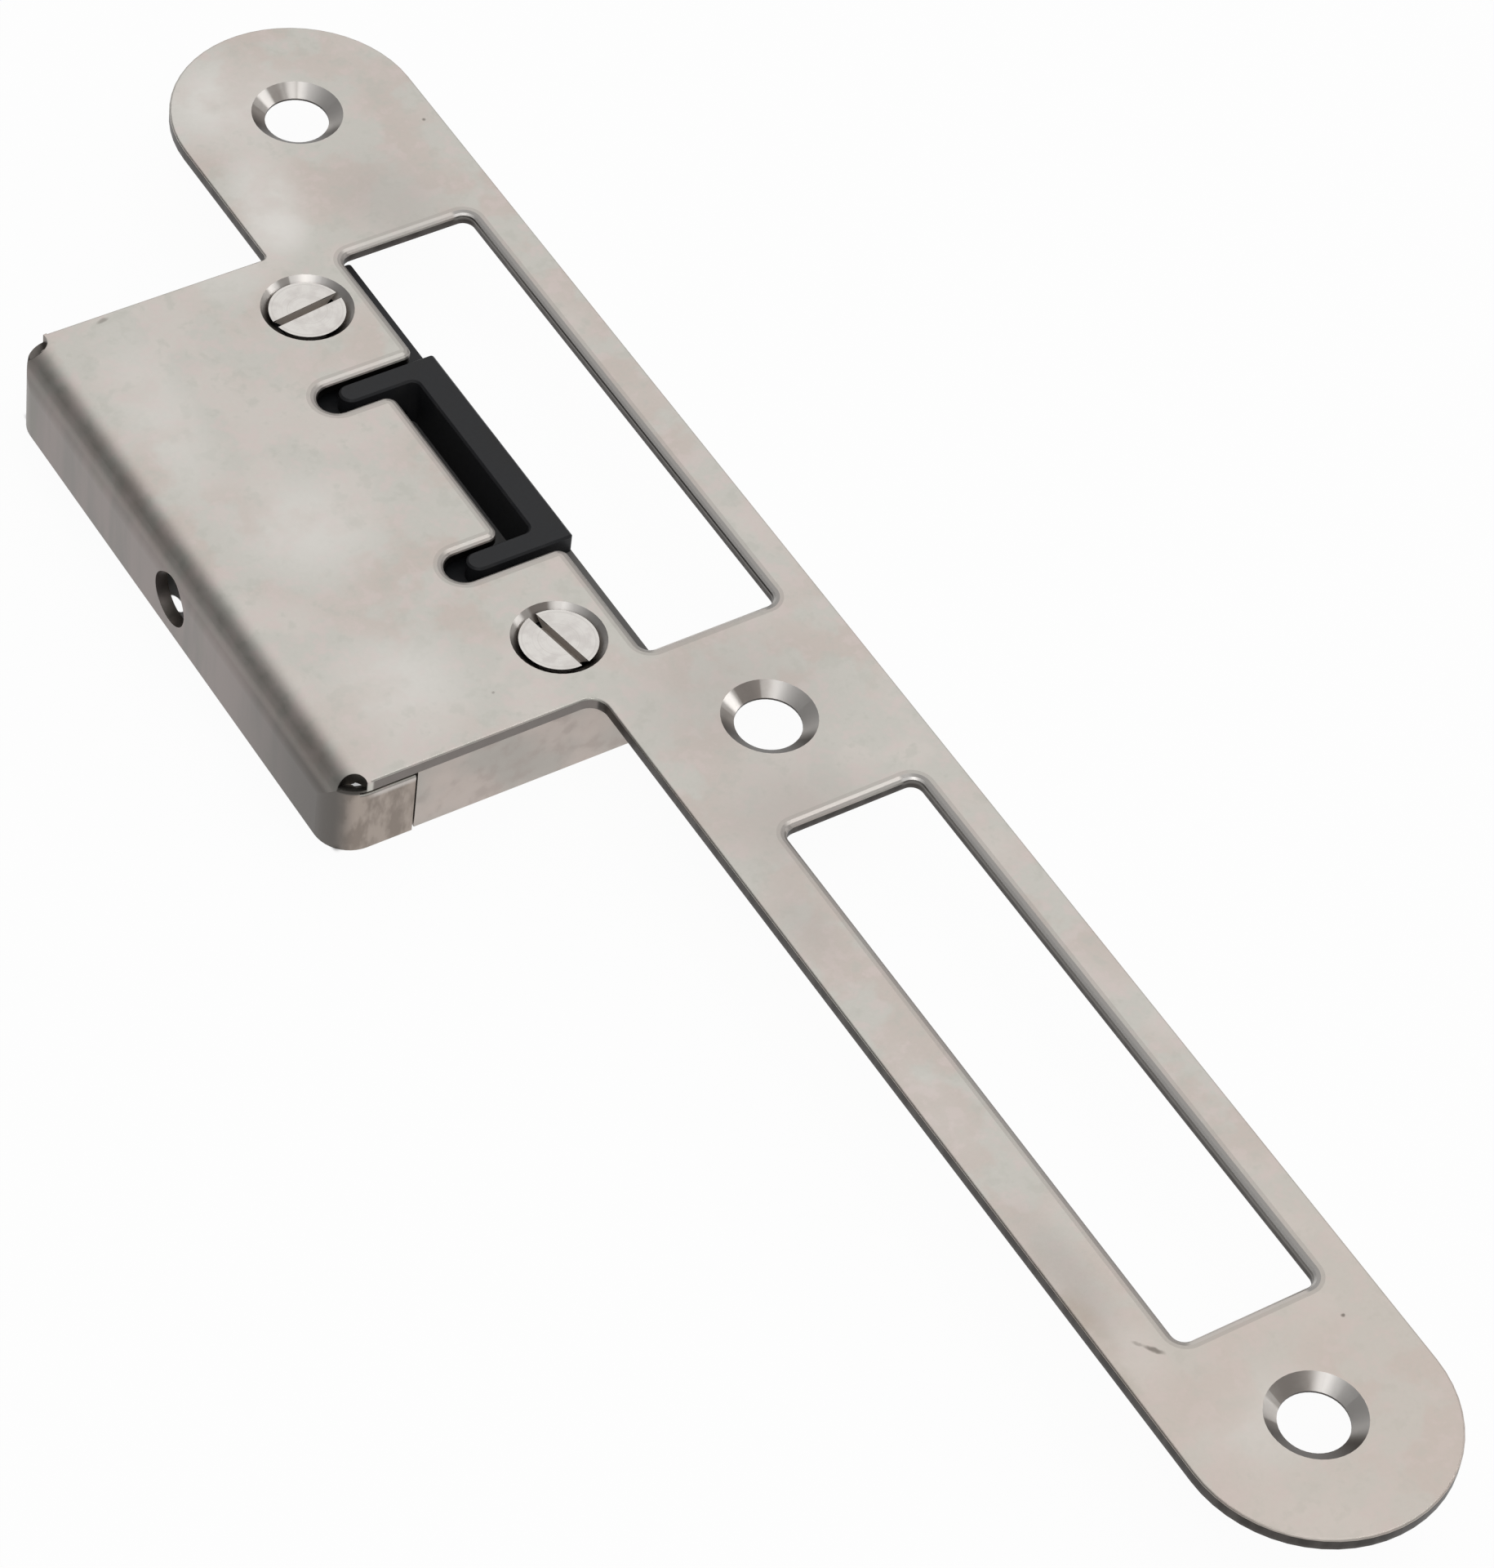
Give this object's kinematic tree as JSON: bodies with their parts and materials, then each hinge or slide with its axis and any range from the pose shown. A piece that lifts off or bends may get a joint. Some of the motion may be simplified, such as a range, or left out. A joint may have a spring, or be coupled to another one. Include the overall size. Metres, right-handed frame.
{
  "type": "door strike plate",
  "caption": "Round-ended steel strike plate with latch and deadbolt openings, a bent side lip over a backing box, and a black adjustable keeper held by slotted screws.",
  "frame": {"origin": "middle of the strip's length and width, on its back face", "axes": "+Z out of the visible face, +Y along the strip towards its latch end, the lip towards -X"},
  "size_m": [0.0519, 0.2, 0.0089],
  "materials": {
    "plate_steel": "satin stainless sheet with a fine grain",
    "box_metal": "dull grey cast metal",
    "keeper_plastic": "matt black moulded plastic",
    "screw_steel": "bright zinc-plated steel"
  },
  "bodies": {
    "plate": {"strike_plate": "plate_steel", "backing_box": "box_metal", "clamp_screws": "screw_steel"},
    "keeper": {"keeper": "keeper_plastic"}
  },
  "joints": [
    {"name": "keeper_slide", "type": "slide", "parent": "plate", "child": "keeper", "axis": [-1, 0, 0], "range_m": [0, 0.0021]}
  ]
}
